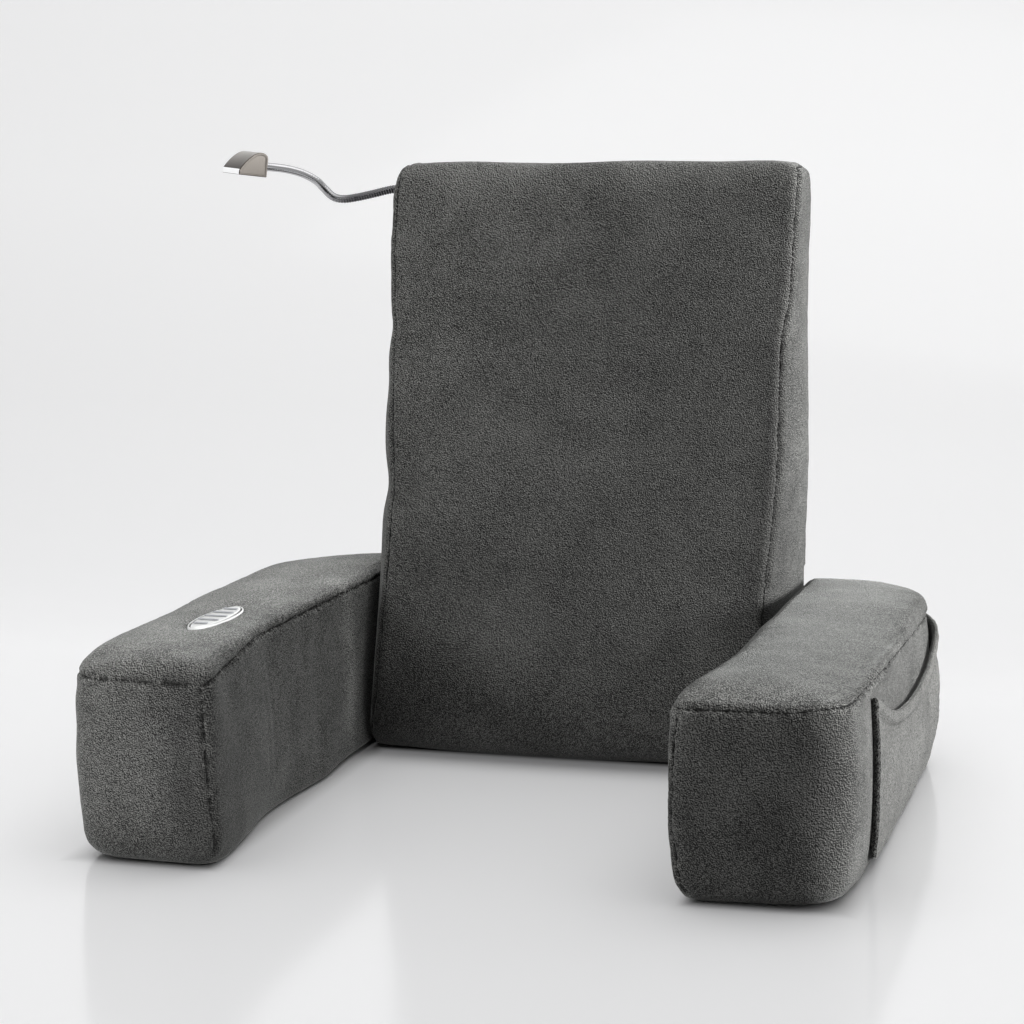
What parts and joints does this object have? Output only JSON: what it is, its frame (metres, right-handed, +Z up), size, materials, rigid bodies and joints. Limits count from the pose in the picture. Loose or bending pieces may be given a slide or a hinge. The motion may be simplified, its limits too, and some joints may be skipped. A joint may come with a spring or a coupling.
{
  "type": "massage cushion",
  "caption": "Wedge-shaped plush massage cushion with padded arms, a patch pocket on one side, an oval control pad and a small reading light on a bendable neck.",
  "frame": {"origin": "on the floor, under the middle of the backrest's flat underside", "axes": "+Z up, -Y towards someone who faces the cushion, +X to that person's right, where the pocket is; the backrest's upright back faces +Y"},
  "size_m": [0.6724, 0.5621, 0.5422],
  "materials": {
    "plush": "short brushed pile, matt",
    "pad_white": "satin white",
    "pad_grey": "matt grey",
    "collar_black": "matt black",
    "neck_steel": "spiral-wound, half polished",
    "lamp_chrome": "polished",
    "lens_white": "milky, smooth"
  },
  "bodies": {
    "cushion": {"back_wedge": "plush", "arm_left": "plush", "arm_right": "plush", "side_pocket": "plush", "pad_rim": "pad_white", "pad_face": "pad_white", "pad_bar_1": "pad_grey", "pad_bar_2": "pad_grey", "pad_bar_3": "pad_grey", "pad_bar_4": "pad_grey", "pad_bar_5": "pad_grey", "neck_collar": "collar_black", "neck_root": "neck_steel"},
    "neck": {"neck_mid": "neck_steel"},
    "lamp": {"neck_tip": "neck_steel", "lamp_head": "lamp_chrome", "lamp_lens": "lens_white"}
  },
  "joints": [
    {"name": "neck_swing", "type": "hinge", "parent": "cushion", "child": "neck", "pos_m": [-0.2045, 0.038, 0.5049], "axis": [0, 0, 1], "range_deg": [-20, 65]},
    {"name": "neck_lift", "type": "hinge", "parent": "neck", "child": "lamp", "pos_m": [-0.254, 0.029, 0.4996], "axis": [0, 1, 0], "range_deg": [-35, 35]}
  ]
}
